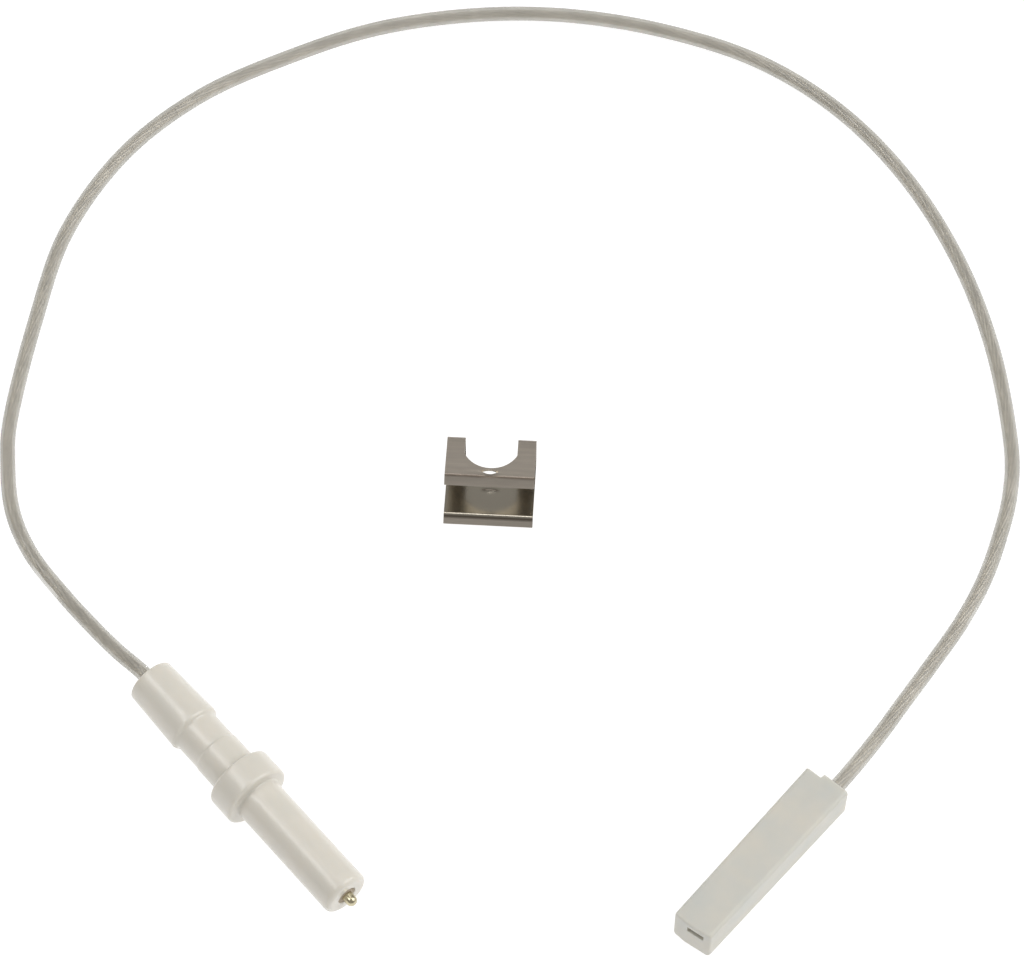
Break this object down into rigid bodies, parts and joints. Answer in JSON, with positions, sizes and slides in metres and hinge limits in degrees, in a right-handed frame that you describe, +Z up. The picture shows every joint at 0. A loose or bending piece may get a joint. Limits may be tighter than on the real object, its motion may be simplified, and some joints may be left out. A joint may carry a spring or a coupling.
{
  "type": "ignition electrode",
  "caption": "Spark electrode for a gas burner: stepped ceramic insulator with a metal rod, clear high-tension lead, covered blade receptacle and a loose spring clip.",
  "frame": {"origin": "centre of the collar's front face, on the axis of the electrode", "axes": "+X along the electrode to the spark tip, +Z up from the surface that the lead lies on"},
  "size_m": [0.1789, 0.1673, 0.0112],
  "materials": {
    "glazed_ceramic": "gloss",
    "rod_metal": "satin",
    "cement": "matte",
    "ferrule_metal": "satin",
    "tinned_strands": "satin",
    "lead_jacket": "satin",
    "receptacle_brass": "satin",
    "cover_plastic": "satin",
    "clip_steel": "satin"
  },
  "bodies": {
    "electrode": {"ceramic_body": "glazed_ceramic", "spark_rod": "rod_metal", "tip_cement": "cement", "rod_ferrule": "ferrule_metal", "front_strands": "tinned_strands", "rear_potting": "cement", "lead": "lead_jacket", "rear_strands": "tinned_strands", "blade_receptacle": "receptacle_brass"},
    "cover": {"connector_cover": "cover_plastic"},
    "clip": {"retaining_clip": "clip_steel"}
  },
  "joints": [
    {"name": "cover_pull", "type": "slide", "parent": "electrode", "child": "cover", "axis": [0.1392, -0.9903, 0], "range_m": [0, 0.034]},
    {"name": "clip_lift", "type": "slide", "parent": "electrode", "child": "clip", "axis": [0, 0, 1], "range_m": [0, 0.03]}
  ]
}
